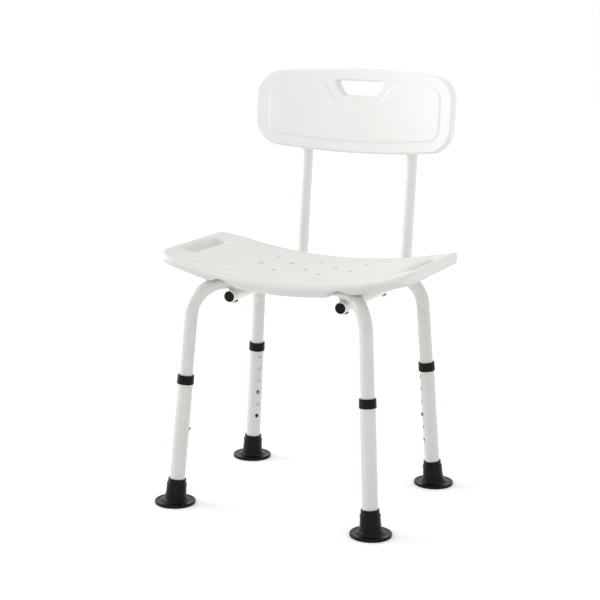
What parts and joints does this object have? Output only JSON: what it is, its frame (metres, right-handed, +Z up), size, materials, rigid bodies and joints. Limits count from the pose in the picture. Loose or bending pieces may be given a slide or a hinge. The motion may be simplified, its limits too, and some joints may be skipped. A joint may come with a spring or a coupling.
{
  "type": "shower chair",
  "caption": "Shower chair with a curved plastic seat, a backrest with a hand opening, a crossed bolted tube frame and height-adjustable legs on wide rubber feet.",
  "frame": {"origin": "on the floor, under the middle of the chair's bounding box", "axes": "+Z up, -Y the front of the seat, +X towards the left hand of a person sitting in the chair"},
  "size_m": [0.5, 0.4532, 0.7904],
  "materials": {
    "moulding": "fine-grained blow-moulded polyethylene",
    "tube_coating": "white powder coat on thin-wall aluminium tube",
    "black_plastic": "satin moulded",
    "pale_plastic": "natural nylon",
    "foot_rubber": "moulded rubber",
    "bright_steel": "zinc-plated"
  },
  "bodies": {
    "frame": {"cross_tube_a": "tube_coating", "cross_tube_b": "tube_coating", "back_tube_left": "tube_coating", "back_tube_right": "tube_coating", "end_plug_left": "black_plastic", "end_plug_right": "black_plastic", "seat_bolts": "bright_steel", "saddle_washers": "black_plastic", "tube_spacers": "pale_plastic", "seat_inserts": "bright_steel", "seat_shell": "moulding", "backrest_shell": "moulding", "backrest_screws": "bright_steel", "button_spring_front_left": "bright_steel", "button_spring_front_right": "bright_steel", "button_spring_back_left": "bright_steel", "button_spring_back_right": "bright_steel"},
    "leg_front_left": {"leg_tube_front_left": "tube_coating", "collar_front_left": "black_plastic", "foot_front_left": "foot_rubber", "foot_disc_front_left": "bright_steel"},
    "button_front_left": {"snap_button_front_left": "bright_steel"},
    "leg_front_right": {"leg_tube_front_right": "tube_coating", "collar_front_right": "black_plastic", "foot_front_right": "foot_rubber", "foot_disc_front_right": "bright_steel"},
    "button_front_right": {"snap_button_front_right": "bright_steel"},
    "leg_back_left": {"leg_tube_back_left": "tube_coating", "collar_back_left": "black_plastic", "foot_back_left": "foot_rubber", "foot_disc_back_left": "bright_steel"},
    "button_back_left": {"snap_button_back_left": "bright_steel"},
    "leg_back_right": {"leg_tube_back_right": "tube_coating", "collar_back_right": "black_plastic", "foot_back_right": "foot_rubber", "foot_disc_back_right": "bright_steel"},
    "button_back_right": {"snap_button_back_right": "bright_steel"}
  },
  "joints": [
    {"name": "leg_slide_front_left", "type": "slide", "parent": "frame", "child": "leg_front_left", "axis": [0.0675, -0.0551, -0.9962], "range_m": [-0.0508, 0.0762], "deforming": ["snap_button_front_left"]},
    {"name": "leg_slide_front_right", "type": "slide", "parent": "frame", "child": "leg_front_right", "axis": [-0.0675, -0.0551, -0.9962], "range_m": [-0.0508, 0.0762], "deforming": ["snap_button_front_right"]},
    {"name": "leg_slide_back_left", "type": "slide", "parent": "frame", "child": "leg_back_left", "axis": [0.0675, 0.0551, -0.9962], "range_m": [-0.0508, 0.0762], "deforming": ["snap_button_back_left"]},
    {"name": "leg_slide_back_right", "type": "slide", "parent": "frame", "child": "leg_back_right", "axis": [-0.0675, 0.0551, -0.9962], "range_m": [-0.0508, 0.0762], "deforming": ["snap_button_back_right"]},
    {"name": "button_press_front_left", "type": "slide", "parent": "frame", "child": "button_front_left", "axis": [0.772, -0.6296, 0.0872], "range_m": [0, 0.0044], "stiffness_N_per_m": 2500, "springref_m": -0.001, "deforming": ["button_spring_front_left"]},
    {"name": "button_press_front_right", "type": "slide", "parent": "frame", "child": "button_front_right", "axis": [-0.772, -0.6296, 0.0872], "range_m": [0, 0.0044], "stiffness_N_per_m": 2500, "springref_m": -0.001, "deforming": ["button_spring_front_right"]},
    {"name": "button_press_back_left", "type": "slide", "parent": "frame", "child": "button_back_left", "axis": [0.772, 0.6296, 0.0872], "range_m": [0, 0.0044], "stiffness_N_per_m": 2500, "springref_m": -0.001, "deforming": ["button_spring_back_left"]},
    {"name": "button_press_back_right", "type": "slide", "parent": "frame", "child": "button_back_right", "axis": [-0.772, 0.6296, 0.0872], "range_m": [0, 0.0044], "stiffness_N_per_m": 2500, "springref_m": -0.001, "deforming": ["button_spring_back_right"]}
  ]
}
